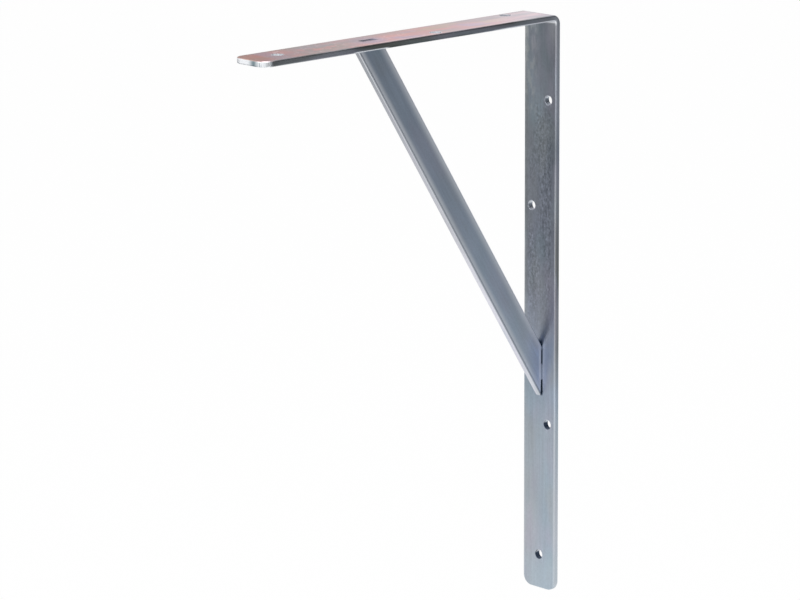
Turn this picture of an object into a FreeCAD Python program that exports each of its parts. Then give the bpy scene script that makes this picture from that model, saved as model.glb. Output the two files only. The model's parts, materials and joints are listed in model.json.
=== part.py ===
import FreeCAD, Part
import math
import os

# Gallows shelf bracket: a flat steel strip folded into a wall leg and a shelf arm, braced by a strut.
# The wall plane is X = 0, the arm reaches out along +X, and Z = 0 is half way up the leg. Sizes are in mm.

# Folded strip
leg_height = 500.0
arm_length = 330.0
strip_width = 37.0
strip_thickness = 5.0
bend_inner_radius = 3.0
end_corner_radius = 9.0
strip_edge_radius = 1.2

# Screw holes, staggered about the middle of the strip so that a screwdriver passes beside the strut
leg_hole_diameter = 8.0
arm_hole_diameter = 10.0
hole_edge_radius = 0.4
leg_hole_offset = 9.5
arm_hole_offset = 11.0
top_hole_drop = 73.0
upper_hole_drop = 165.0
lower_hole_drop = 353.0
foot_hole_margin = 30.0
rear_hole_reach = 35.5
middle_hole_reach = 137.5
tip_hole_margin = 31.0

# Strut, a flat bar on edge: its outer edge meets the arm at strut_reach and the leg at strut_drop
strut_depth = 25.0
strut_thickness = 6.0
strut_edge_radius = 1.2
strut_reach = 217.0
strut_drop = 330.5

# Strut ends: a shoulder each side of a tenon, whose end is spread into a slot that flares to the outer face.
# The foot touches the leg at its top and stands off it by foot_heel_gap at its bottom
tenon_length = 14.0
tenon_clearance = 0.1
tenon_recess = 0.5
slot_flare = 1.0
foot_heel_gap = 1.5

# Two lengths closer than this are the same length
tolerance = 1e-4

# Levels that follow from the sizes above
arm_top = leg_height / 2
arm_underside = arm_top - strip_thickness
leg_foot = -leg_height / 2
half_width = strip_width / 2
bend_outer_radius = bend_inner_radius + strip_thickness

# The strut's slope, and the middle of its seat on the arm and on the leg
strut_run = strut_reach - strip_thickness
strut_rise = strut_drop - strip_thickness
strut_angle = math.atan2(strut_rise, strut_run)
head_seat_x = strut_reach - strut_depth / math.sin(strut_angle) / 2
foot_height = strut_depth / math.cos(strut_angle)
foot_top_z = arm_top - strut_drop + foot_height
foot_seat_z = foot_top_z - foot_height / 2


def point(x, z):
    return FreeCAD.Vector(x, 0, z)


def bend_arc(radius):
    centre = point(bend_outer_radius, arm_top - bend_outer_radius)
    diagonal = radius / math.sqrt(2)
    start = centre + point(-radius, 0)
    middle = centre + point(-diagonal, diagonal)
    end = centre + point(0, radius)
    return Part.Arc(start, middle, end).toShape()


def strip_profile():
    outer_bend = bend_arc(bend_outer_radius)
    inner_bend = bend_arc(bend_inner_radius)
    outer_start, outer_end = (outer_bend.valueAt(p) for p in outer_bend.ParameterRange)
    inner_start, inner_end = (inner_bend.valueAt(p) for p in inner_bend.ParameterRange)
    edges = [
        Part.makeLine(point(0, leg_foot), outer_start),
        outer_bend,
        Part.makeLine(outer_end, point(arm_length, arm_top)),
        Part.makeLine(point(arm_length, arm_top), point(arm_length, arm_underside)),
        Part.makeLine(point(arm_length, arm_underside), inner_end),
        inner_bend,
        Part.makeLine(inner_start, point(strip_thickness, leg_foot)),
        Part.makeLine(point(strip_thickness, leg_foot), point(0, leg_foot)),
    ]
    return Part.Face(Part.Wire(Part.__sortEdges__(edges)))


def same(a, b):
    return abs(a - b) < tolerance


def at_an_end(position):
    return same(position.x, arm_length) or same(position.z, leg_foot)


def goes_through_the_thickness(edge):
    box = edge.BoundBox
    along_x = same(box.XLength, strip_thickness) and same(box.ZLength, 0)
    along_z = same(box.ZLength, strip_thickness) and same(box.XLength, 0)
    return same(box.YLength, 0) and (along_x or along_z)


def is_end_corner(edge):
    return goes_through_the_thickness(edge) and at_an_end(edge.CenterOfMass)


def is_strip_edge(edge):
    crosses_at_the_bend = same(edge.BoundBox.YLength, strip_width) and not at_an_end(edge.CenterOfMass)
    return not crosses_at_the_bend and not goes_through_the_thickness(edge)


def screw_hole(position, direction, diameter):
    # A bore from the outer face, with its mouth rounded at the inner face, where the punch went in
    bore = diameter / 2
    mouth = bore + hole_edge_radius
    bore_end = strip_thickness - hole_edge_radius
    bulge = hole_edge_radius * (1 - 1 / math.sqrt(2))
    below, above = -strip_thickness, 2 * strip_thickness
    outline = Part.makePolygon([
        point(mouth, strip_thickness),
        point(mouth, above),
        point(0, above),
        point(0, below),
        point(bore, below),
        point(bore, bore_end),
    ])
    rounding_middle = point(bore + bulge, strip_thickness - bulge)
    rounding = Part.Arc(point(bore, bore_end), rounding_middle, point(mouth, strip_thickness))
    half_section = Part.Face(Part.Wire(outline.Edges + [rounding.toShape()]))
    upright = FreeCAD.Vector(0, 0, 1)
    hole = half_section.revolve(FreeCAD.Vector(), upright, 360)
    hole.Placement = FreeCAD.Placement(position, FreeCAD.Rotation(upright, direction))
    return hole


def leg_hole(z, y):
    return screw_hole(FreeCAD.Vector(0, y, z), FreeCAD.Vector(1, 0, 0), leg_hole_diameter)


def arm_hole(x, y):
    return screw_hole(FreeCAD.Vector(x, y, arm_top), FreeCAD.Vector(0, 0, -1), arm_hole_diameter)


def spread_block(clearance, root, end):
    # A block that spreads at 45 degrees along the strip towards its end. Heights run from the outer face
    half = tenon_length / 2 + clearance
    half_at_end = half + slot_flare + end
    outline = [(half, root), (half, -slot_flare), (half_at_end, end)]
    outline += [(-x, z) for x, z in reversed(outline)]
    section = Part.Face(Part.makePolygon([point(x, z) for x, z in outline + outline[:1]]))
    breadth = strut_thickness + 2 * clearance
    block = section.extrude(FreeCAD.Vector(0, breadth, 0))
    block.translate(FreeCAD.Vector(0, -breadth / 2, 0))
    return block


def at_head(block):
    block.translate(point(head_seat_x, arm_top))
    return block


def at_foot(block):
    block.rotate(FreeCAD.Vector(), FreeCAD.Vector(0, 1, 0), -90)
    block.translate(point(0, foot_seat_z))
    return block


def tenon_slot():
    return spread_block(tenon_clearance, -2 * strip_thickness, slot_flare)


def tenon():
    return spread_block(0, -2 * strip_thickness, -tenon_recess)


def make_angle_strip():
    strip = strip_profile().extrude(FreeCAD.Vector(0, strip_width, 0))
    strip.translate(FreeCAD.Vector(0, -half_width, 0))
    strip = strip.makeFillet(end_corner_radius, [e for e in strip.Edges if is_end_corner(e)])
    strip = strip.makeFillet(strip_edge_radius, [e for e in strip.Edges if is_strip_edge(e)])
    holes = [
        leg_hole(arm_top - top_hole_drop, leg_hole_offset),
        leg_hole(arm_top - upper_hole_drop, -leg_hole_offset),
        leg_hole(arm_top - lower_hole_drop, leg_hole_offset),
        leg_hole(leg_foot + foot_hole_margin, 0),
        arm_hole(rear_hole_reach, -arm_hole_offset),
        arm_hole(middle_hole_reach, arm_hole_offset),
        arm_hole(arm_length - tip_hole_margin, 0),
    ]
    return strip.cut(holes + [at_head(tenon_slot()), at_foot(tenon_slot())])


def strut_bar():
    # A rounded bar along the strut's slope, longer than the strut at both ends
    overlap = strip_width + strut_depth
    length = math.hypot(strut_run, strut_rise) + 2 * overlap
    corner = FreeCAD.Vector(-overlap, -strut_thickness / 2, 0)
    bar = Part.makeBox(length, strut_thickness, strut_depth, corner)
    long_edges = [e for e in bar.Edges if same(e.Length, length)]
    bar = bar.makeFillet(strut_edge_radius, long_edges)
    bar.rotate(FreeCAD.Vector(), FreeCAD.Vector(0, 1, 0), -math.degrees(strut_angle))
    bar.translate(point(strip_thickness, arm_top - strut_drop))
    return bar


def make_strut():
    # The bar is mitred to the leg and to the arm, and each end keeps a tenon in the middle of its seat.
    # A thin wedge comes off the foot's mitre below its top
    corner = FreeCAD.Vector(strip_thickness, -half_width, arm_underside - leg_height)
    inside_the_fold = Part.makeBox(arm_length, strip_width, leg_height, corner)
    heel = Part.makePolygon([
        point(strip_thickness, foot_top_z),
        point(strip_thickness, foot_top_z - 2 * foot_height),
        point(strip_thickness + 2 * foot_heel_gap, foot_top_z - 2 * foot_height),
        point(strip_thickness, foot_top_z),
    ])
    heel_wedge = Part.Face(heel).extrude(FreeCAD.Vector(0, strip_width, 0))
    heel_wedge.translate(FreeCAD.Vector(0, -half_width, 0))
    strut = strut_bar().common(inside_the_fold).cut(heel_wedge)
    return strut.fuse([at_head(tenon()), at_foot(tenon())]).removeSplitter()


def main():
    os.makedirs("parts", exist_ok=True)
    nodes = {"angle_strip": make_angle_strip(), "strut": make_strut()}
    for name, shape in nodes.items():
        shape.exportStep(f"parts/{name}.step")
        print(name, "valid", shape.isValid(), "solids", len(shape.Solids), "mm3", round(shape.Volume, 1))


main()
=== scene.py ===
import json
import math

import bpy
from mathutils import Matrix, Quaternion, Vector


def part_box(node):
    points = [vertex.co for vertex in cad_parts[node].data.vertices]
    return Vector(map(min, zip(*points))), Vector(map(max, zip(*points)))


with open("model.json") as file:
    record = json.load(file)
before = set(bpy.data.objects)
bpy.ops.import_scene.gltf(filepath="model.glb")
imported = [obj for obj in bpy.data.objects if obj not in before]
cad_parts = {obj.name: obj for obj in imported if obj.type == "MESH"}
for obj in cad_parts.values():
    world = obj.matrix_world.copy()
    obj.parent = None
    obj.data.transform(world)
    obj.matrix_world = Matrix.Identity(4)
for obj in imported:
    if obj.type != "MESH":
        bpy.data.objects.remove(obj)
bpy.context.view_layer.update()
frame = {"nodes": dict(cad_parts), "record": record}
bpy.ops.object.select_all(action="DESELECT")  # the CAD nodes arrive selected
scene = bpy.context.scene
stripObject = frame["nodes"]["angle_strip"]
strutObject = frame["nodes"]["strut"]
stripLow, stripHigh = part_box("angle_strip")
strutLow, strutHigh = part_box("strut")
bores = [mount for mount in frame["record"]["mounts"] if mount["kind"] == "bore"]
print("frame loaded with", len(frame["nodes"]), "pieces and", len(bores), "screw holes")

# Sizes of the bar stock, in metres
barStock = {
    "thickness": 0.005,
    "strutDepth": 0.025,
    "strutThickness": 0.006,
    "heelGap": 0.0015,
    "slotLength": 0.0162,
    "slotWidth": 0.0062,
}

# Half sizes, and where the strut's ends sit, from the boxes of the two pieces
halfWidth = stripHigh.y
halfDepth = barStock["strutDepth"] / 2
halfThickness = barStock["strutThickness"] / 2
armUnderside = stripHigh.z - barStock["thickness"]
heel = barStock["thickness"] + barStock["heelGap"]
strutSlope = math.atan2(armUnderside - strutLow.z, strutHigh.x - heel)
headSeat = strutHigh.x - barStock["strutDepth"] / math.sin(strutSlope) / 2
outerFoot = strutLow.z - barStock["heelGap"] * math.tan(strutSlope)
footTop = outerFoot + barStock["strutDepth"] / math.cos(strutSlope)
footSeat = (outerFoot + footTop) / 2


# Small helpers for node trees
def feed(tree, socket, value):
    if isinstance(value, bpy.types.NodeSocket):
        tree.links.new(value, socket)
    else:
        socket.default_value = value


def calc(tree, operation, *values):
    node = tree.nodes.new("ShaderNodeMath")
    node.operation = operation
    for socket, value in zip(node.inputs, values):
        feed(tree, socket, value)
    return node.outputs[0]


def product(tree, first, *others):
    for other in others:
        first = calc(tree, "MULTIPLY", first, other)
    return first


def highest(tree, first, *others):
    for other in others:
        first = calc(tree, "MAXIMUM", first, other)
    return first


def vectorCalc(tree, operation, *values):
    node = tree.nodes.new("ShaderNodeVectorMath")
    node.operation = operation
    for socket, value in zip(node.inputs, values):
        feed(tree, socket, value)
    return node.outputs["Value" if operation in ("LENGTH", "DOT_PRODUCT") else "Vector"]


def stretch(tree, vector, scale):
    return vectorCalc(tree, "MULTIPLY", vector, scale)


def fade(tree, value, span):  # 0 at the span's start, 1 at its end, eased
    node = tree.nodes.new("ShaderNodeMapRange")
    node.interpolation_type = "SMOOTHSTEP"
    feed(tree, node.inputs["Value"], value)
    node.inputs["From Min"].default_value = span[0]
    node.inputs["From Max"].default_value = span[1]
    return node.outputs["Result"]


def band(tree, value, look):  # 1 between the look's rise and its fall
    return product(tree, fade(tree, value, look["rise"]), fade(tree, value, look["fall"]))


def shift(span, distance):
    return span[0] + distance, span[1] + distance


def fromSide(inset):  # a span of distances from the strip's middle
    return halfWidth - inset[0], halfWidth - inset[1]


def noise(tree, vector, detail=2.0, roughness=0.5):
    node = tree.nodes.new("ShaderNodeTexNoise")
    feed(tree, node.inputs["Vector"], vector)
    node.inputs["Scale"].default_value = 1.0
    node.inputs["Detail"].default_value = detail
    node.inputs["Roughness"].default_value = roughness
    return node.outputs[0]


def sway(tree, value, contrast, base):  # a noise's swing about its middle, on top of a base
    return calc(tree, "MULTIPLY_ADD", calc(tree, "SUBTRACT", value, 0.5), contrast, base)


def mixColor(tree, factor, first, second, blend="MIX"):
    node = tree.nodes.new("ShaderNodeMix")
    node.data_type = "RGBA"
    node.blend_type = blend
    feed(tree, node.inputs[0], factor)
    feed(tree, node.inputs[6], first)  # inputs 6 and 7 and output 2 are the colour sockets
    feed(tree, node.inputs[7], second)
    return node.outputs[2]


def splitVector(tree, vector):
    node = tree.nodes.new("ShaderNodeSeparateXYZ")
    feed(tree, node.inputs[0], vector)
    return node.outputs[0], node.outputs[1], node.outputs[2]


def joinVector(tree, x, y, z):
    node = tree.nodes.new("ShaderNodeCombineXYZ")
    for socket, value in zip(node.inputs, (x, y, z)):
        feed(tree, socket, value)
    return node.outputs[0]


def coat(tree, base, color, share, *masks):  # a share of a colour over a base, where all the masks meet
    return mixColor(tree, product(tree, *masks, share), base, color)


def shaded(tree, color, tone):  # a colour made lighter or darker
    return mixColor(tree, 1.0, color, joinVector(tree, tone, tone, tone), "MULTIPLY")


def objectCoordinates(tree):
    return tree.nodes.new("ShaderNodeTexCoord").outputs["Object"]


def newGroup(name, inputs, outputs):
    tree = bpy.data.node_groups.new(name, "ShaderNodeTree")
    for socketName, kind in inputs.items():
        tree.interface.new_socket(socketName, in_out="INPUT", socket_type="NodeSocket" + kind)
    for socketName, kind in outputs.items():
        tree.interface.new_socket(socketName, in_out="OUTPUT", socket_type="NodeSocket" + kind)
    return tree, tree.nodes.new("NodeGroupInput").outputs, tree.nodes.new("NodeGroupOutput").inputs


def placeGroup(tree, group, **values):
    node = tree.nodes.new("ShaderNodeGroup")
    node.node_tree = group
    for name, value in values.items():
        feed(tree, node.inputs[name], value)
    return node.outputs


def newMaterial(name):
    material = bpy.data.materials.new(name)
    material.use_nodes = True
    return material


# Zinc plate on rolled steel. Its coordinates run along the bar, across it and through it, in metres
zincPattern = {
    # A pale colour mixed in as painted highlight, on edges, hole walls, the tip, the fold and the strut's
    # face
    "paintedHighlight": (0.95, 0.97, 1.0, 1),
    # A dark colour mixed in as painted shade, in holes, gaps and corners and along lines on the strut
    "paintedShade": (0.015, 0.045, 0.10, 1),
    "streaks": {"scale": (13.0, 360.0, 400.0), "contrast": 0.26},
    "lines": {"scale": (40.0, 1700.0, 1700.0), "contrast": 0.20},
    "grain": {"scale": (560.0, 700.0, 700.0)},
    "clouds": {"scale": (16.0, 42.0, 120.0), "contrast": 0.30},
    "tintNoise": (0.46, 0.70),
    "tints": {
        "lilac": {"color": (0.48, 0.465, 0.56, 1), "offset": (7.0, 3.0, 1.0)},
        "teal": {"color": (0.38, 0.49, 0.54, 1), "offset": (1.0, 9.0, 4.0)},
        "straw": {"color": (0.45, 0.475, 0.50, 1), "offset": (4.0, 5.0, 8.0)},
    },
    "pits": {"color": (0.20, 0.21, 0.23, 1), "share": 0.35, "scale": 170.0, "rarity": (0.80, 0.84),
             "radius": (0.09, 0.05)},
    "roughness": {"base": 0.18, "clouds": 0.14, "lines": 0.08, "grain": 0.08, "paintedShade": 0.30},
    "height": {"grain": 0.6, "lines": 0.20, "pits": -0.6},
    "bump": {"strength": 0.12, "distance": 0.0002},
}


# The zinc's finish, with the painted highlight and painted shade mixed into its colour
def makeZincFinishAndPaintedLight():
    tree, given, result = newGroup(
        "zincFinishAndPaintedLight",
        {"Coordinates": "Vector", "Zinc": "Color", "Tint": "Float", "Grain": "Float", "Polish": "Float",
         "Soil": "Float"},
        {"Color": "Color", "Roughness": "Float", "Height": "Float"},
    )
    place = given["Coordinates"]
    streaks = noise(tree, stretch(tree, place, zincPattern["streaks"]["scale"]), detail=3.0)
    lines = noise(tree, stretch(tree, place, zincPattern["lines"]["scale"]))
    grain = noise(tree, stretch(tree, place, zincPattern["grain"]["scale"]), detail=1.0, roughness=0.6)
    cloudPlace = stretch(tree, place, zincPattern["clouds"]["scale"])
    clouds = noise(tree, cloudPlace, detail=3.0)

    tone = sway(tree, streaks, zincPattern["streaks"]["contrast"], 1.0)
    tone = sway(tree, lines, zincPattern["lines"]["contrast"], tone)
    tone = sway(tree, grain, given["Grain"], tone)
    tone = sway(tree, clouds, zincPattern["clouds"]["contrast"], tone)
    color = given["Zinc"]
    for tint in zincPattern["tints"].values():
        patch = noise(tree, vectorCalc(tree, "ADD", cloudPlace, tint["offset"]))
        color = coat(tree, color, tint["color"], given["Tint"], fade(tree, patch, zincPattern["tintNoise"]))
    color = shaded(tree, color, tone)

    pitLook = zincPattern["pits"]
    voronoi = tree.nodes.new("ShaderNodeTexVoronoi")
    feed(tree, voronoi.inputs["Vector"], place)
    voronoi.inputs["Scale"].default_value = pitLook["scale"]
    rare = fade(tree, splitVector(tree, voronoi.outputs["Color"])[0], pitLook["rarity"])
    pits = product(tree, fade(tree, voronoi.outputs["Distance"], pitLook["radius"]), rare)
    color = coat(tree, color, pitLook["color"], pitLook["share"], pits)
    color = mixColor(tree, given["Polish"], color, zincPattern["paintedHighlight"])
    color = mixColor(tree, given["Soil"], color, zincPattern["paintedShade"])

    shares = zincPattern["roughness"]
    rough = calc(tree, "MULTIPLY_ADD", clouds, shares["clouds"], shares["base"])
    rough = calc(tree, "MULTIPLY_ADD", lines, shares["lines"], rough)
    rough = calc(tree, "MULTIPLY_ADD", grain, shares["grain"], rough)
    rough = calc(tree, "MULTIPLY_ADD", given["Soil"], shares["paintedShade"], rough)
    shares = zincPattern["height"]
    height = product(tree, grain, given["Grain"], shares["grain"])
    height = calc(tree, "MULTIPLY_ADD", lines, shares["lines"], height)
    height = calc(tree, "MULTIPLY_ADD", pits, shares["pits"], height)

    feed(tree, result["Color"], color)
    feed(tree, result["Roughness"], rough)
    feed(tree, result["Height"], height)
    return tree


# The whole wall carries painted highlight; its lower side and deep part carry painted shade
# Masks on a hole's wall: all of it, its lower side in the leg, and the deep part of its far side in the arm
holeMarks = {
    "wall": (0.0005, 0.0001),
    "lowAxis": (0, 0.45, 0.9),
    "low": (0.0008, -0.0018),
    "farAxis": (-0.69, -0.72, 0),
    "far": (0.0, 0.002),
    "deep": (0.0018, 0.0010),
}


def makeHoleWall():
    tree, given, result = newGroup(
        "holeWall",
        {"Coordinates": "Vector", "Centre": "Vector", "Across": "Vector", "Radius": "Float"},
        {"Wall": "Float", "Low": "Float", "Deep": "Float"},
    )
    away = vectorCalc(tree, "SUBTRACT", given["Coordinates"], given["Centre"])
    distance = vectorCalc(tree, "LENGTH", stretch(tree, away, given["Across"]))
    wall = fade(tree, calc(tree, "SUBTRACT", distance, given["Radius"]), holeMarks["wall"])
    low = fade(tree, vectorCalc(tree, "DOT_PRODUCT", away, holeMarks["lowAxis"]), holeMarks["low"])
    far = fade(tree, vectorCalc(tree, "DOT_PRODUCT", away, holeMarks["farAxis"]), holeMarks["far"])
    deep = fade(tree, splitVector(tree, away)[2], holeMarks["deep"])
    feed(tree, result["Wall"], wall)
    feed(tree, result["Low"], product(tree, wall, low))
    feed(tree, result["Deep"], product(tree, wall, far, deep))
    return tree


# Masks by the strut's foot: the corner above it, for painted shade, and a wide patch around its seat
footMarks = {
    "cornerLift": 0.0012,
    "corner": (0.0060, 0.0012),
    "beside": (0.0050, 0.0028),
    "squash": 0.6,
    "around": (0.034, 0.006),
}


def makeNearFoot():
    tree, given, result = newGroup(
        "nearFoot",
        {"Coordinates": "Vector"},
        {"Corner": "Float", "Around": "Float"},
    )
    x, y, z = splitVector(tree, given["Coordinates"])
    fromLeg = calc(tree, "SUBTRACT", x, barStock["thickness"])
    fromCorner = joinVector(tree, fromLeg, 0.0, calc(tree, "SUBTRACT", z, footTop + footMarks["cornerLift"]))
    corner = fade(tree, vectorCalc(tree, "LENGTH", fromCorner), footMarks["corner"])
    beside = fade(tree, calc(tree, "ABSOLUTE", y), footMarks["beside"])
    feed(tree, result["Corner"], product(tree, corner, beside))
    fromSeat = product(tree, calc(tree, "SUBTRACT", z, footSeat), footMarks["squash"])
    fromSeat = joinVector(tree, fromLeg, 0.0, fromSeat)
    feed(tree, result["Around"], fade(tree, vectorCalc(tree, "LENGTH", fromSeat), footMarks["around"]))
    return tree


def zincShader(material, place, zinc, look, paintedHighlight, paintedShade, grain):
    tree = material.node_tree
    finishAndPaintedLight = placeGroup(tree, zincFinishAndPaintedLight, Coordinates=place, Zinc=zinc, Tint=look["tint"], Grain=grain,
                        Polish=paintedHighlight, Soil=paintedShade)
    shader = tree.nodes["Principled BSDF"]
    shader.inputs["Metallic"].default_value = 1.0
    feed(tree, shader.inputs["Base Color"], finishAndPaintedLight["Color"])
    feed(tree, shader.inputs["Roughness"], finishAndPaintedLight["Roughness"])
    bump = tree.nodes.new("ShaderNodeBump")
    bump.inputs["Strength"].default_value = zincPattern["bump"]["strength"]
    bump.inputs["Distance"].default_value = zincPattern["bump"]["distance"]
    feed(tree, bump.inputs["Height"], finishAndPaintedLight["Height"])
    feed(tree, shader.inputs["Normal"], bump.outputs["Normal"])


# The folded strip. A pair of numbers is a span, from where an effect starts to where it is full, in metres:
# up the leg, along the arm, across the strip or out from the wall. An inset is measured from the strip's side
# and a depth from its outer face. A noise span is in the noise's own value. A share is how much is mixed in
stripLook = {
    "zinc": (0.43, 0.495, 0.56, 1),
    "tint": 0.50,
    "leg": {
        "footBlue": {"color": (0.46, 0.56, 0.70, 1), "share": 0.7},
        "footTint": {"warm": (0.455, 0.475, 0.49, 1), "cool": (0.385, 0.465, 0.545, 1), "share": 0.8,
                     "across": (-0.014, 0.010), "span": (-0.10, -0.19)},
        "footEnd": {"color": (0.46, 0.54, 0.61, 1), "share": 0.7, "span": (-0.205, -0.235)},
        "violet": {"color": (0.44, 0.468, 0.565, 1), "share": 0.8, "rise": (-0.06, 0.0),
                   "fall": (0.17, 0.09)},
        "upper": (-0.07, 0.03),
        "lean": -0.24,
        "middleDim": {"share": -0.12, "rise": (0.08, 0.13), "fall": (0.20, 0.16)},
        "topDim": {"share": -0.38, "span": (0.19, 0.245), "out": (0.012, 0.007)},
        "farEdge": {"color": (0.56, 0.61, 0.62, 1), "share": 0.7, "inset": (0.0065, 0.0015)},
        "flecks": {"color": (0.72, 0.75, 0.74, 1), "share": 0.45, "scale": (130.0, 300.0, 330.0),
                   "noise": (0.42, 0.62), "across": (0.0, -0.009), "span": (0.15, 0.18)},
    },
    "sides": {
        "color": (0.215, 0.22, 0.195, 1),
        "inset": (0.0011, 0.0003),
        "arm": {"share": 0.85, "span": (0.006, 0.016), "tipShare": 0.15, "tip": (0.17, 0.21)},
        "leg": {"share": 0.8, "rise": (-0.085, -0.015), "fall": (0.17, 0.03), "lowShare": 0.2,
                "low": (0.05, 0.01)},
        "foot": {"share": 0.20, "span": (-0.09, -0.14)},
        "dark": {"share": 0.36, "rise": (-0.05, -0.025), "fall": (0.03, 0.005), "tip": (0.19, 0.23)},
    },
    "armTop": {
        "depth": (0.0012, 0.0004),
        "start": (0.004, 0.012),
        "pink": (0.68, 0.45, 0.45, 1),
        "tan": (0.58, 0.51, 0.44, 1),
        "lilac": (0.51, 0.45, 0.58, 1),
        "gray": (0.42, 0.46, 0.44, 1),
        "pale": (0.86, 0.80, 0.82, 1),
        "rust": (0.62, 0.32, 0.28, 1),
        "patchScale": (26.0, 60.0, 1.0),
        "tanPatches": {"noise": (0.50, 0.62)},
        "lilacPatches": {"offset": (5.0, 3.0, 7.0), "noise": (0.52, 0.66), "span": (0.23, 0.19),
                         "aroundHead": (0.022, 0.008)},
        "mottle": {"share": 0.8, "scale": (170.0, 150.0, 1.0), "noise": (0.38, 0.50), "rise": (0.218, 0.238),
                   "fall": (0.290, 0.272)},
        "flecks": {"share": 0.7, "scale": (330.0, 210.0, 1.0), "noise": (0.60, 0.68), "span": (0.04, 0.30)},
        "tipLilac": {"share": 0.6, "rise": (0.294, 0.300), "fall": (0.316, 0.309)},
        "tipRust": {"share": 0.6, "span": (0.309, 0.317)},
        "rearPale": {"share": 0.7, "span": (0.13, 0.015)},
        "farLine": {"share": 0.45, "inset": (0.0070, 0.0025)},
        "nearLine": {"share": 0.45, "inset": (0.0050, 0.0032), "span": (0.23, 0.19)},
    },
    "rims": {
        "color": (0.055, 0.065, 0.065, 1),
        "share": 0.85,
        "inset": (0.0014, 0.0007),
        "rearExtra": 0.0010,
        "rear": (0.07, 0.02),
        "height": (0.2395, 0.2435),
        "tip": (0.322, 0.317),
        "upperDepth": (0.0014, 0.0007),
        "lowerDepth": (0.0034, 0.0042),
        "bright": {"share": 0.8, "rise": (0.194, 0.200), "fall": (0.236, 0.230), "rear": (0.085, 0.060)},
    },
    "holes": {"legPolish": 0.40, "armPolish": 1.0, "upperSoil": 0.38, "lowerSoil": 0.90, "armSoil": 0.10,
              "rearSoil": 0.60, "rearReach": 0.05},
    "edges": {
        "inset": (0.00264, 0.00036),
        "share": 0.06,
        "foot": {"share": 0.20, "span": (-0.06, -0.13)},
        "middle": {"share": 0.32, "rise": (-0.03, 0.02), "fall": (0.14, 0.08)},
        "topSide": {"share": 0.30, "inset": (0.00025, 0.00005), "out": (0.012, 0.006), "span": (0.12, 0.18)},
    },
    "tip": {
        "color": (0.13, 0.20, 0.22, 1),
        "share": 0.8,
        "span": (0.3195, 0.3235),
        "depth": (0.0002, 0.0010),
        "streaks": {"scale": (500.0, 900.0, 120.0), "noise": (0.20, 0.52)},
        "near": {"share": 0.93, "across": (0.0060, 0.0130)},
        "far": (0.007, -0.001),
    },
    "fold": {"share": 0.8, "out": (0.0082, 0.0074), "height": (0.2415, 0.2430), "depth": (0.0035, 0.0046)},
    "slot": {"color": (0.10, 0.08, 0.17, 1), "share": 0.8, "alongMargin": (0.0014, -0.0004),
             "acrossMargin": (0.0012, 0.0)},
    "seam": {
        "share": 0.92,
        "fromTop": (0.001, -0.003),
        "fromBottom": (-0.001, 0.001),
        "across": (0.0046, 0.0032),
        "out": (0.0035, 0.0045),
        "tenon": {"share": -0.5, "fromBelow": (-0.0075, -0.0060), "fromAbove": (0.0070, 0.0055)},
    },
    "specks": {
        "scale": (9.0, 40.0, 40.0),
        "noise": (0.30, 0.50),
        "rise": (-0.04, 0.03),
        "fall": (0.19, 0.15),
        "across": (0.016, 0.011),
        "grain": 0.22,
        "extraGrain": 0.75,
        "strokes": {"scale": (230.0, 420.0, 420.0), "contrast": 1.5},
    },
}


def stripPlaces(tree):  # bar runs along the unfolded strip, across it and through it
    spot = objectCoordinates(tree)
    x, y, z = splitVector(tree, spot)
    along = calc(tree, "SUBTRACT", x, z)
    depth = calc(tree, "MINIMUM", x, calc(tree, "SUBTRACT", stripHigh.z, z))
    bar = joinVector(tree, along, y, depth)
    fromMiddle = calc(tree, "ABSOLUTE", y)
    return {"spot": spot, "bar": bar, "x": x, "y": y, "z": z, "depth": depth, "fromMiddle": fromMiddle}


def legColor(tree, at, foot):
    look = stripLook["leg"]
    x, y, z = at["x"], at["y"], at["z"]
    layer = look["footBlue"]
    zinc = coat(tree, stripLook["zinc"], layer["color"], layer["share"], foot["Around"])
    layer = look["footTint"]
    footTint = mixColor(tree, fade(tree, y, layer["across"]), layer["warm"], layer["cool"])
    zinc = coat(tree, zinc, footTint, layer["share"], fade(tree, z, layer["span"]))
    layer = look["footEnd"]
    zinc = coat(tree, zinc, layer["color"], layer["share"], fade(tree, z, layer["span"]))
    layer = look["violet"]
    zinc = coat(tree, zinc, layer["color"], layer["share"], band(tree, z, layer))

    # Painted shade: darker towards the near side, between the upper holes and under the fold
    upper = fade(tree, z, look["upper"])
    tone = calc(tree, "MULTIPLY_ADD", product(tree, y, upper), look["lean"] / halfWidth, 1.0)
    layer = look["middleDim"]
    tone = calc(tree, "MULTIPLY_ADD", band(tree, z, layer), layer["share"], tone)
    layer = look["topDim"]
    topDim = product(tree, fade(tree, z, layer["span"]), fade(tree, x, layer["out"]))
    tone = calc(tree, "MULTIPLY_ADD", topDim, layer["share"], tone)
    zinc = shaded(tree, zinc, tone)

    # Partly a greenish tint, partly painted highlight: the far edge of the upper leg made lighter
    layer = look["farEdge"]
    farEdge = fade(tree, y, shift(layer["inset"], -halfWidth))
    zinc = coat(tree, zinc, layer["color"], layer["share"], farEdge, upper)
    layer = look["flecks"]
    flecks = fade(tree, noise(tree, stretch(tree, at["bar"], layer["scale"])), layer["noise"])
    return coat(tree, zinc, layer["color"], layer["share"], flecks, fade(tree, y, layer["across"]),
                fade(tree, z, layer["span"]))


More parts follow.
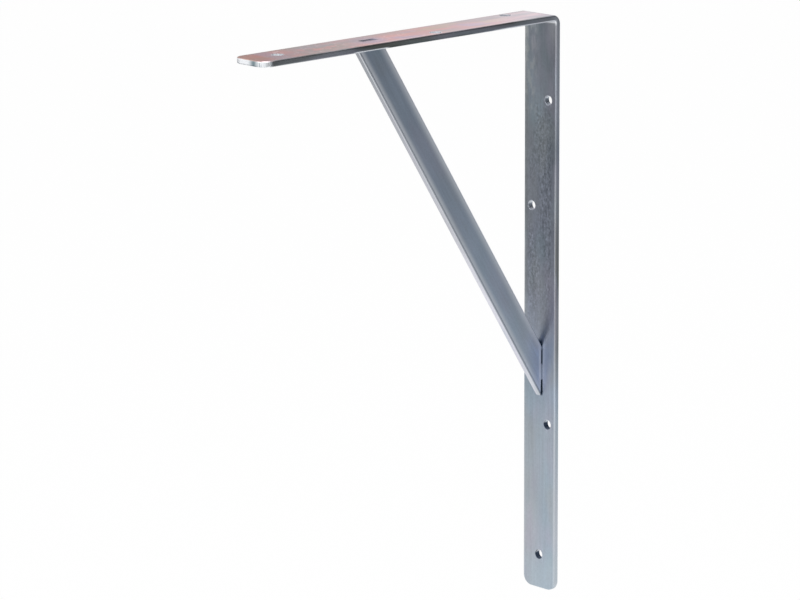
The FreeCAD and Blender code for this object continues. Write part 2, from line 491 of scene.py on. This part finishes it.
# Painted shade: the strip's side faces darkened along the arm, the leg and by the foot, darker still in a
# band on the leg and towards the arm's tip
def paintSideShade(tree, at, zinc):
    look = stripLook["sides"]
    x, z = at["x"], at["z"]
    side = fade(tree, at["fromMiddle"], fromSide(look["inset"]))
    layer = look["arm"]
    armSideShade = calc(tree, "MULTIPLY_ADD", fade(tree, x, layer["tip"]), layer["tipShare"], layer["share"])
    armSideShade = product(tree, fade(tree, x, layer["span"]), armSideShade)
    layer = look["leg"]
    legSideShade = calc(tree, "MULTIPLY_ADD", fade(tree, z, layer["low"]), layer["lowShare"], layer["share"])
    legSideShade = product(tree, band(tree, z, layer), legSideShade)
    layer = look["foot"]
    footSideShade = product(tree, fade(tree, z, layer["span"]), layer["share"])
    sideShade = product(tree, side, highest(tree, armSideShade, legSideShade, footSideShade))
    zinc = mixColor(tree, sideShade, zinc, look["color"])
    layer = look["dark"]
    dark = highest(tree, band(tree, z, layer), fade(tree, x, layer["tip"]))
    zinc = coat(tree, zinc, stripLook["rims"]["color"], layer["share"], side, dark)
    return zinc, sideShade


def armTopMask(tree, at):
    look = stripLook["armTop"]
    return product(tree, fade(tree, at["depth"], look["depth"]), fade(tree, at["x"], look["start"]))


def armTopColor(tree, at):
    look = stripLook["armTop"]
    spot, x, y = at["spot"], at["x"], at["y"]
    patchPlace = stretch(tree, spot, look["patchScale"])
    tan = fade(tree, noise(tree, patchPlace, detail=3.0), look["tanPatches"]["noise"])
    blush = mixColor(tree, tan, look["pink"], look["tan"])
    layer = look["lilacPatches"]
    patches = noise(tree, vectorCalc(tree, "ADD", patchPlace, layer["offset"]), detail=3.0)
    patches = product(tree, fade(tree, patches, layer["noise"]), fade(tree, x, layer["span"]))
    fromHead = joinVector(tree, calc(tree, "SUBTRACT", x, headSeat), y, 0.0)
    aroundHead = fade(tree, vectorCalc(tree, "LENGTH", fromHead), layer["aroundHead"])
    blush = mixColor(tree, highest(tree, patches, aroundHead), blush, look["lilac"])
    layer = look["mottle"]
    mottle = fade(tree, noise(tree, stretch(tree, spot, layer["scale"]), detail=3.0), layer["noise"])
    blush = coat(tree, blush, look["gray"], layer["share"], band(tree, x, layer), mottle)
    layer = look["flecks"]
    flecks = fade(tree, noise(tree, stretch(tree, spot, layer["scale"]), detail=1.0), layer["noise"])
    blush = coat(tree, blush, look["pale"], layer["share"], flecks, fade(tree, x, layer["span"]))

    # Lilac by the tip's hole, rust at the tip, pale by the fold as painted reflection, a line along each side
    layer = look["tipLilac"]
    blush = coat(tree, blush, look["lilac"], layer["share"], band(tree, x, layer))
    layer = look["tipRust"]
    blush = coat(tree, blush, look["rust"], layer["share"], fade(tree, x, layer["span"]))
    layer = look["rearPale"]
    blush = coat(tree, blush, look["pale"], layer["share"], fade(tree, x, layer["span"]))
    layer = look["farLine"]
    blush = coat(tree, blush, look["gray"], layer["share"], fade(tree, y, shift(layer["inset"], -halfWidth)))
    layer = look["nearLine"]
    nearLine = fade(tree, y, fromSide(layer["inset"]))
    return coat(tree, blush, look["pale"], layer["share"], nearLine, fade(tree, x, layer["span"]))


# Painted shade on the arm's upper rim and most of its lower rim, painted highlight on bright stretches of the
# lower rim
def armRims(tree, at):  # dark and bright stretches of the arm's rounded edges
    look = stripLook["rims"]
    x, depth = at["x"], at["depth"]
    wider = calc(tree, "MULTIPLY_ADD", fade(tree, x, look["rear"]), look["rearExtra"], at["fromMiddle"])
    rim = product(tree, fade(tree, wider, fromSide(look["inset"])), fade(tree, at["z"], look["height"]),
                  fade(tree, x, look["tip"]))
    lower = product(tree, rim, fade(tree, depth, look["lowerDepth"]))
    layer = look["bright"]
    bright = highest(tree, band(tree, x, layer), fade(tree, x, layer["rear"]))
    paintedHighlightRim = product(tree, lower, bright)
    upper = product(tree, rim, fade(tree, depth, look["upperDepth"]))
    paintedShadeRim = highest(tree, upper, calc(tree, "SUBTRACT", lower, paintedHighlightRim))
    return paintedShadeRim, paintedHighlightRim


# Painted highlight on the hole walls, painted shade low in the leg's holes and deep in the arm's
def holeMasks(tree, at):  # walls bright in the arm and dark deeper down, dimmer in the leg and dark low down
    look = stripLook["holes"]
    paintedHighlight, paintedShade = 0.0, 0.0
    for bore in bores:
        inLeg = abs(bore["axis"][0]) > abs(bore["axis"][2])
        hole = placeGroup(tree, holeWall, Coordinates=at["spot"], Centre=bore["pos_m"],
                          Across=(0, 1, 1) if inLeg else (1, 1, 0), Radius=bore["dims"]["r_mm"] / 1000)
        if inLeg:
            shade = hole["Low"]
            share = look["upperSoil"] if bore["pos_m"][2] > 0 else look["lowerSoil"]
        else:
            shade = hole["Deep"]
            share = look["rearSoil"] if bore["pos_m"][0] < look["rearReach"] else look["armSoil"]
        bright = look["legPolish"] if inLeg else look["armPolish"]
        paintedHighlight = highest(tree, paintedHighlight, product(tree, hole["Wall"], bright))
        paintedShade = highest(tree, paintedShade, product(tree, shade, share))
    return paintedHighlight, paintedShade


# Painted highlight along the strip's rounded edges and the leg's top side, kept off the painted-shade sides
# and rims
def edgePolish(tree, at, sideShade, paintedShadeRim):
    look = stripLook["edges"]
    z = at["z"]
    layer = look["foot"]
    share = calc(tree, "MULTIPLY_ADD", fade(tree, z, layer["span"]), layer["share"], look["share"])
    layer = look["middle"]
    share = calc(tree, "MULTIPLY_ADD", band(tree, z, layer), layer["share"], share)
    edge = fade(tree, at["fromMiddle"], fromSide(look["inset"]))
    edge = product(tree, edge, share, calc(tree, "SUBTRACT", 1.0, sideShade))
    layer = look["topSide"]
    topSide = product(tree, fade(tree, at["fromMiddle"], fromSide(layer["inset"])),
                      fade(tree, at["x"], layer["out"]), fade(tree, z, layer["span"]), layer["share"])
    return product(tree, highest(tree, edge, topSide), calc(tree, "SUBTRACT", 1.0, paintedShadeRim))


# The tip's end face, and a painted highlight on it: streaked on its near part, plain on its far part
def tipMasks(tree, at):
    look = stripLook["tip"]
    y = at["y"]
    wall = product(tree, fade(tree, at["x"], look["span"]), fade(tree, at["depth"], look["depth"]))
    streaks = noise(tree, stretch(tree, at["spot"], look["streaks"]["scale"]))
    near = product(tree, fade(tree, y, look["near"]["across"]), fade(tree, streaks, look["streaks"]["noise"]),
                   look["near"]["share"])
    paintedHighlight = product(tree, wall, highest(tree, near, fade(tree, y, look["far"])))
    return wall, paintedHighlight


# Painted highlight inside the fold
def foldPolish(tree, at):
    look = stripLook["fold"]
    return product(tree, fade(tree, at["x"], look["out"]), fade(tree, at["z"], look["height"]),
                   fade(tree, at["depth"], look["depth"]), look["share"])


def slotMask(tree, at, armTop):
    look = stripLook["slot"]
    fromSeat = calc(tree, "ABSOLUTE", calc(tree, "SUBTRACT", at["x"], headSeat))
    along = fade(tree, fromSeat, shift(look["alongMargin"], barStock["slotLength"] / 2))
    across = fade(tree, at["fromMiddle"], shift(look["acrossMargin"], barStock["slotWidth"] / 2))
    return product(tree, along, across, armTop)


# Painted shade in the seam behind the strut's foot and in the corner above it
def seamSoil(tree, at, foot):  # the dark seam behind the strut's foot, fainter at the tenon
    look = stripLook["seam"]
    z = at["z"]
    seam = product(tree, fade(tree, z, shift(look["fromTop"], footTop)),
                   fade(tree, z, shift(look["fromBottom"], strutLow.z)),
                   fade(tree, at["fromMiddle"], look["across"]), fade(tree, at["x"], look["out"]))
    layer = look["tenon"]
    tenon = product(tree, fade(tree, z, shift(layer["fromBelow"], footSeat)),
                    fade(tree, z, shift(layer["fromAbove"], footSeat)))
    seam = product(tree, seam, calc(tree, "MULTIPLY_ADD", tenon, layer["share"], 1.0))
    return product(tree, highest(tree, seam, foot["Corner"]), look["share"])


def legSpecks(tree, at):  # between the leg's upper holes
    look = stripLook["specks"]
    specks = fade(tree, noise(tree, stretch(tree, at["bar"], look["scale"])), look["noise"])
    specks = product(tree, specks, band(tree, at["z"], look), fade(tree, at["fromMiddle"], look["across"]))
    grain = calc(tree, "MULTIPLY_ADD", specks, look["extraGrain"], look["grain"])
    strokes = noise(tree, stretch(tree, at["bar"], look["strokes"]["scale"]))
    strokes = product(tree, calc(tree, "SUBTRACT", strokes, 0.5), specks)
    tone = calc(tree, "MULTIPLY_ADD", strokes, look["strokes"]["contrast"], 1.0)
    return grain, tone


def makeStripZinc():
    material = newMaterial("stripZinc")
    tree = material.node_tree
    at = stripPlaces(tree)
    foot = placeGroup(tree, nearFoot, Coordinates=at["spot"])
    zinc, sideShade = paintSideShade(tree, at, legColor(tree, at, foot))
    armTop = armTopMask(tree, at)
    zinc = mixColor(tree, armTop, zinc, armTopColor(tree, at))
    paintedShadeRim, paintedHighlightRim = armRims(tree, at)
    layer = stripLook["rims"]
    zinc = coat(tree, zinc, layer["color"], layer["share"], paintedShadeRim)
    rimPolish = product(tree, paintedHighlightRim, layer["bright"]["share"])
    tipWall, tipPolish = tipMasks(tree, at)
    layer = stripLook["tip"]
    zinc = coat(tree, zinc, layer["color"], layer["share"], tipWall)
    # Dark violet round the tenon's end in the slot: partly heat tint, partly painted shade in the recess
    layer = stripLook["slot"]
    zinc = coat(tree, zinc, layer["color"], layer["share"], slotMask(tree, at, armTop))
    grain, tone = legSpecks(tree, at)
    zinc = shaded(tree, zinc, tone)

    holePolish, holeSoil = holeMasks(tree, at)
    paintedHighlight = highest(tree, edgePolish(tree, at, sideShade, paintedShadeRim), rimPolish, tipPolish, holePolish,
                     foldPolish(tree, at))
    paintedShade = highest(tree, holeSoil, seamSoil(tree, at, foot))
    zincShader(material, at["bar"], zinc, stripLook, paintedHighlight, paintedShade, grain)
    return material


# The strut. Spans are as on the strip, with depths measured in from its outer or inner edge
strutLook = {
    "zinc": (0.42, 0.485, 0.565, 1),
    "tint": 0.40,
    "grain": 0.22,
    "footBlue": (0.61, 0.69, 0.92, 1),
    "lift": {"base": 1.04, "share": 0.14, "span": (0.14, -0.04)},
    "outerEdge": {"head": (0.51, 0.52, 0.56, 1), "foot": (0.80, 0.80, 0.88, 1), "span": (0.20, -0.08),
                  "depth": (0.0010, 0.0003)},
    "tenon": {"color": (0.10, 0.08, 0.17, 1), "share": 0.8, "aboveArm": (0.0035, 0.0043),
              "back": (0.0016, 0.0009), "backShare": 0.3},
    "face": (-0.0012, -0.0002),
    "glow": {"outer": (0.0070, 0.0022), "inner": (0.0092, 0.0010), "innerPower": 1.8, "base": 0.45,
             "share": 0.55, "span": (-0.12, 0.20)},
    "seats": {"share": 0.6, "belowArm": (-0.0022, -0.0006), "out": (0.0095, 0.0070)},
    "outerLine": {"share": 0.55, "rise": (0.0, 0.0005), "fall": (0.0022, 0.0013)},
    "innerLine": {"share": 0.6, "depth": (0.0009, 0.0004), "span": (0.010, -0.020)},
    "seam": {"share": 0.85, "inside": (-0.0001, -0.0004), "rise": (0.0036, 0.0046), "fall": (0.0072, 0.0062),
             "depth": (0.0004, 0.0014), "cornerShare": 0.6},
    "lip": {"rise": (0.0036, 0.0046), "fall": (0.0062, 0.0056), "aboveSeat": (0.0068, 0.0078),
            "belowTop": (-0.0020, -0.0050)},
}


def strutPlaces(tree):  # bar runs along the strut's slope, from its outer to its inner edge, and through it
    spot = objectCoordinates(tree)
    x, y, z = splitVector(tree, spot)
    cosine, sine = math.cos(strutSlope), math.sin(strutSlope)
    along = calc(tree, "MULTIPLY_ADD", x, cosine, product(tree, z, sine))
    rise = calc(tree, "MULTIPLY_ADD", x, -sine, product(tree, z, cosine))
    outerRise = -strutHigh.x * sine + armUnderside * cosine
    across = calc(tree, "SUBTRACT", rise, outerRise + halfDepth)
    return {
        "spot": spot,
        "bar": joinVector(tree, along, across, y),
        "x": x,
        "z": z,
        "fromMiddle": calc(tree, "ABSOLUTE", y),
        "fromOuter": calc(tree, "ADD", across, halfDepth),
        "fromInner": calc(tree, "SUBTRACT", halfDepth, across),
    }


def strutColor(tree, at, foot):
    x, z = at["x"], at["z"]
    zinc = mixColor(tree, foot["Around"], strutLook["zinc"], strutLook["footBlue"])
    # Painted light: the strut lighter overall and most towards the foot
    layer = strutLook["lift"]
    tone = calc(tree, "MULTIPLY_ADD", fade(tree, z, layer["span"]), layer["share"], layer["base"])
    zinc = shaded(tree, zinc, tone)
    # Painted highlight: the strut's outer edge face lighter, most towards the foot
    layer = strutLook["outerEdge"]
    outerEdge = mixColor(tree, fade(tree, z, layer["span"]), layer["head"], layer["foot"])
    zinc = mixColor(tree, fade(tree, at["fromOuter"], layer["depth"]), zinc, outerEdge)
    # Dark violet on the tenon's ends, full at the head and faint at the back of the leg: partly heat tint,
    # partly painted shade in the slot's recess
    layer = strutLook["tenon"]
    headEnd = fade(tree, z, shift(layer["aboveArm"], armUnderside))
    footEnd = product(tree, fade(tree, x, layer["back"]), layer["backShare"])
    return coat(tree, zinc, layer["color"], layer["share"], highest(tree, headEnd, footEnd))


# Painted highlight on the strut's face
def strutPolish(tree, at, onFace):  # bands along both edges of the face, and lines at its ends
    layer = strutLook["glow"]
    outer = fade(tree, at["fromOuter"], layer["outer"])
    inner = calc(tree, "POWER", fade(tree, at["fromInner"], layer["inner"]), layer["innerPower"])
    share = calc(tree, "MULTIPLY_ADD", fade(tree, at["z"], layer["span"]), layer["share"], layer["base"])
    glow = product(tree, highest(tree, outer, inner), share)
    layer = strutLook["seats"]
    seats = highest(tree, fade(tree, at["z"], shift(layer["belowArm"], armUnderside)),
                    fade(tree, at["x"], layer["out"]))
    return product(tree, highest(tree, glow, product(tree, seats, layer["share"])), onFace)


# Painted shade on the strut: dark lines beside its edges, and in the seam and corner at its foot
def strutSoil(tree, at, foot, onFace):  # lines beside both edges, and the shoulder in the seam
    x, z = at["x"], at["z"]
    layer = strutLook["outerLine"]
    outerLine = product(tree, band(tree, at["fromOuter"], layer), onFace, layer["share"])
    layer = strutLook["innerLine"]
    innerLine = product(tree, fade(tree, at["fromInner"], layer["depth"]), fade(tree, z, layer["span"]),
                        layer["share"])
    layer = strutLook["lip"]
    lip = product(tree, band(tree, x, layer), fade(tree, z, shift(layer["aboveSeat"], footSeat)),
                  fade(tree, z, shift(layer["belowTop"], footTop)))
    layer = strutLook["seam"]
    inside = fade(tree, at["fromMiddle"], shift(layer["inside"], halfThickness))
    seam = product(tree, band(tree, x, layer), inside, fade(tree, at["fromOuter"], layer["depth"]))
    corner = product(tree, foot["Corner"], inside, layer["cornerShare"])
    seam = product(tree, highest(tree, seam, lip, corner), layer["share"])
    return highest(tree, outerLine, innerLine, seam)


def makeStrutZinc():
    material = newMaterial("strutZinc")
    tree = material.node_tree
    at = strutPlaces(tree)
    foot = placeGroup(tree, nearFoot, Coordinates=at["spot"])
    onFace = fade(tree, at["fromMiddle"], shift(strutLook["face"], halfThickness))
    zinc = strutColor(tree, at, foot)
    paintedHighlight = strutPolish(tree, at, onFace)
    paintedShade = strutSoil(tree, at, foot, onFace)
    zincShader(material, at["bar"], zinc, strutLook, paintedHighlight, paintedShade, strutLook["grain"])
    return material


nearFoot = makeNearFoot()
zincFinishAndPaintedLight = makeZincFinishAndPaintedLight()
holeWall = makeHoleWall()
stripObject.material_slots[0].material = makeStripZinc()
strutObject.material_slots[0].material = makeStrutZinc()
print("zinc materials placed on", stripObject.name, "and", strutObject.name)

# Studio: white floor and surroundings, cards that only the metal sees, two soft lamps
studio = {
    "floorDrop": 0.15,
    "floorSize": 24.0,
    "floorColor": (0.92, 0.92, 0.92, 1),
    "floorRoughness": 0.9,
    "whiteShare": 0.98,
    "skyColor": (1, 1, 1, 1),
    "skyFill": 0.55,
}


def seenDirectly(tree):  # 1 for rays from the camera, from metal and through glass
    path = tree.nodes.new("ShaderNodeLightPath").outputs
    return highest(tree, path["Is Camera Ray"], path["Is Glossy Ray"], path["Is Transmission Ray"])


def addPlane(name, place, size, facing=None):
    bpy.ops.mesh.primitive_plane_add(size=1.0, location=place)
    plane = bpy.context.object
    plane.name = name
    plane.scale = (size[0], size[1], 1.0)
    if facing is not None:
        plane.rotation_mode = "QUATERNION"
        plane.rotation_quaternion = (Vector(facing) - Vector(place)).to_track_quat("Z", "Y")
    plane.select_set(False)
    return plane


def makeFloor():
    height = stripLow.z - studio["floorDrop"]
    floor = addPlane("floor", (0, 0, height), (studio["floorSize"], studio["floorSize"]))
    material = newMaterial("paleFloor")
    tree = material.node_tree
    shader = tree.nodes["Principled BSDF"]
    shader.inputs["Base Color"].default_value = studio["floorColor"]
    shader.inputs["Roughness"].default_value = studio["floorRoughness"]
    white = tree.nodes.new("ShaderNodeEmission")
    mix = tree.nodes.new("ShaderNodeMixShader")
    feed(tree, mix.inputs[0], product(tree, seenDirectly(tree), studio["whiteShare"]))
    feed(tree, mix.inputs[1], shader.outputs[0])
    feed(tree, mix.inputs[2], white.outputs[0])
    feed(tree, tree.nodes["Material Output"].inputs["Surface"], mix.outputs[0])
    floor.data.materials.append(material)


def makeSky():
    world = bpy.data.worlds.new("studioSky")
    world.use_nodes = True
    tree = world.node_tree
    sky = tree.nodes["Background"]
    sky.inputs["Color"].default_value = studio["skyColor"]
    strength = calc(tree, "MULTIPLY_ADD", seenDirectly(tree), 1.0 - studio["skyFill"], studio["skyFill"])
    feed(tree, sky.inputs["Strength"], strength)
    scene.world = world


# Each card has a place, what it faces, its width and height, its colours in order and where they blend.
# Blends run along the card's axis, 0 across and 1 up, from -0.5 to 0.5
cards = {
    "legCard": {
        "place": (0.348, -0.48, 0.025),
        "faces": (-0.342, 0.24, 0.025),
        "size": (0.46, 0.85),
        "axis": 1,
        "colors": ((0.95, 0.96, 0.97, 1), (0.70, 0.71, 0.72, 1), (0.21, 0.22, 0.23, 1),
                   (0.08, 0.085, 0.09, 1), (0.98, 0.98, 0.98, 1)),
        "blends": ((-0.5, -0.31), (-0.31, -0.17), (-0.04, 0.12), (0.165, 0.185)),
    },
    "frontCard": {
        "place": (0.319, 0.403, 0.095),
        "faces": (-0.401, -0.287, 0.095),
        "size": (0.28, 0.51),
        "axis": 1,
        "colors": ((0.46, 0.46, 0.46, 1), (0.38, 0.38, 0.38, 1)),
        "blends": ((-0.5, 0.0),),
    },
    "sideCard": {
        "place": (-0.42, 0.44, 0.35),
        "faces": (0, 0, 0.35),
        "size": (1.2, 1.5),
        "axis": 1,
        "colors": ((0.90, 0.92, 0.95, 1), (0.33, 0.35, 0.38, 1), (0.14, 0.14, 0.15, 1)),
        "blends": ((-0.5, -0.31), (-0.2, 0.0)),
    },
    "armCard": {
        "place": (-0.138, -0.316, 0.36),
        "faces": (0.165, 0, 0.25),
        "size": (0.9, 0.6),
        "axis": 0,
        "colors": ((0.98, 0.98, 0.98, 1), (0.42, 0.34, 0.33, 1), (0.90, 0.74, 0.73, 1),
                   (0.97, 0.93, 0.97, 1)),
        "blends": ((-0.42, -0.36), (-0.22, 0.02), (0.02, 0.2)),
    },
}


def makeCard(name, card):
    plane = addPlane(name, card["place"], card["size"], card["faces"])
    plane.visible_camera = False
    plane.visible_diffuse = False
    plane.visible_transmission = False
    plane.visible_shadow = False
    material = newMaterial(name)
    tree = material.node_tree
    position = splitVector(tree, objectCoordinates(tree))[card["axis"]]
    color = card["colors"][0]
    for nextColor, span in zip(card["colors"][1:], card["blends"]):
        color = mixColor(tree, fade(tree, position, span), color, nextColor)
    glow = tree.nodes.new("ShaderNodeEmission")
    feed(tree, glow.inputs["Color"], color)
    feed(tree, tree.nodes["Material Output"].inputs["Surface"], glow.outputs[0])
    tree.nodes.remove(tree.nodes["Principled BSDF"])
    plane.data.materials.append(material)


lamps = {
    "overheadLamp": {"place": (0.6, 0.8, 2.6), "aim": (0.1, 0, 0), "size": 2.4, "power": 45.0},
    "fillLamp": {"place": (2.2, -0.6, 1.6), "aim": (0.1, 0, 0), "size": 1.6, "power": 12.0},
}


def makeLamp(name, lamp):
    data = bpy.data.lights.new(name, "AREA")
    data.shape = "DISK"
    data.size = lamp["size"]
    data.energy = lamp["power"]
    lampObject = bpy.data.objects.new(name, data)
    lampObject.location = lamp["place"]
    lampObject.rotation_mode = "QUATERNION"
    lampObject.rotation_quaternion = (Vector(lamp["aim"]) - Vector(lamp["place"])).to_track_quat("-Z", "Y")
    scene.collection.objects.link(lampObject)


makeFloor()
makeSky()
for cardName, card in cards.items():
    makeCard(cardName, card)
for lampName, lamp in lamps.items():
    makeLamp(lampName, lamp)
print("studio set with", len(cards), "cards and", len(lamps), "lamps")

# Camera at the photograph's view, its roll in degrees and its lens and sensor in millimetres
cameraView = {
    "place": (2.28269, 2.21473, 0.75292),
    "aim": (0.11838, -0.05220, 0.01454),
    "roll": -0.297,
    "lens": 173.42,
    "sensor": 36.0,
}


def makeCamera():
    data = bpy.data.cameras.new("camera")
    data.sensor_width = cameraView["sensor"]
    data.lens = cameraView["lens"]
    camera = bpy.data.objects.new("camera", data)
    look = Vector(cameraView["aim"]) - Vector(cameraView["place"])
    camera.location = cameraView["place"]
    camera.rotation_mode = "QUATERNION"
    roll = Quaternion((0, 0, 1), math.radians(cameraView["roll"]))
    camera.rotation_quaternion = look.to_track_quat("-Z", "Y") @ roll
    scene.collection.objects.link(camera)
    scene.camera = camera


makeCamera()
scene.view_settings.view_transform = "Standard"
print("camera set")
